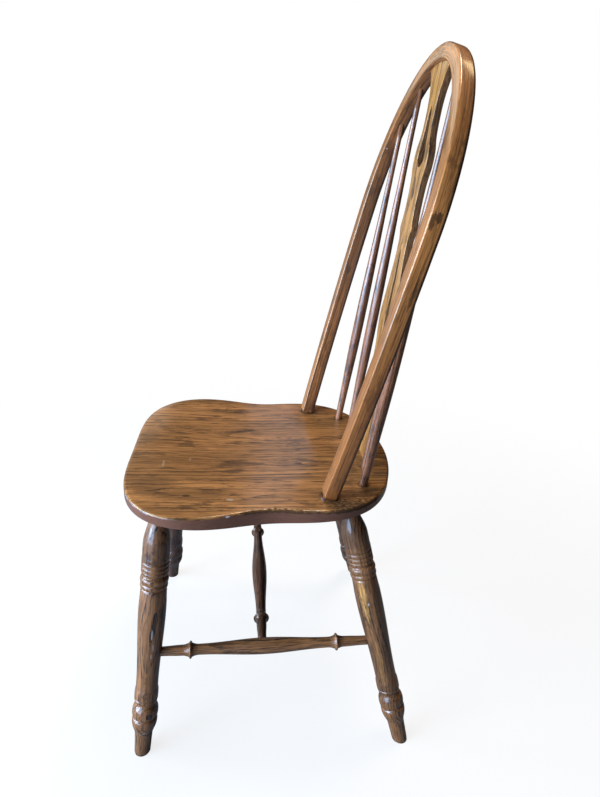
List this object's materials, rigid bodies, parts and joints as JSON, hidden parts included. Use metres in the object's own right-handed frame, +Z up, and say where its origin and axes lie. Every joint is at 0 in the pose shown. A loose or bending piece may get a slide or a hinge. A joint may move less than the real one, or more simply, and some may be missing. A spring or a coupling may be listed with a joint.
{
  "type": "bow-back chair",
  "caption": "Bow-back Windsor side chair with a shaped plank seat, turned legs and stretchers, turned spindles and a pierced splat.",
  "frame": {"origin": "on the floor, under the middle of the overall box", "axes": "+Z up; the front of the chair faces -Y; +X is the sitter's left, the side seen in the picture"},
  "size_m": [0.437, 0.4521, 1.0161],
  "materials": {
    "seat": "stained oak, semi-gloss lacquer, worn at the edges",
    "bow": "stained oak, semi-gloss lacquer",
    "splat": "stained oak, semi-gloss lacquer",
    "spindles": "stained oak, glossy lacquer",
    "legs": "stained oak, glossy lacquer, scuffed",
    "stretchers": "stained oak, glossy lacquer"
  },
  "bodies": {
    "root": {"seat": "seat", "bow": "bow", "splat": "splat", "spindle_left_outer": "spindles", "spindle_left_inner": "spindles", "spindle_right_inner": "spindles", "spindle_right_outer": "spindles", "leg_front_left": "legs", "leg_front_right": "legs", "leg_rear_left": "legs", "leg_rear_right": "legs", "side_stretcher_left": "stretchers", "side_stretcher_right": "stretchers", "cross_stretcher": "stretchers"}
  },
  "joints": []
}
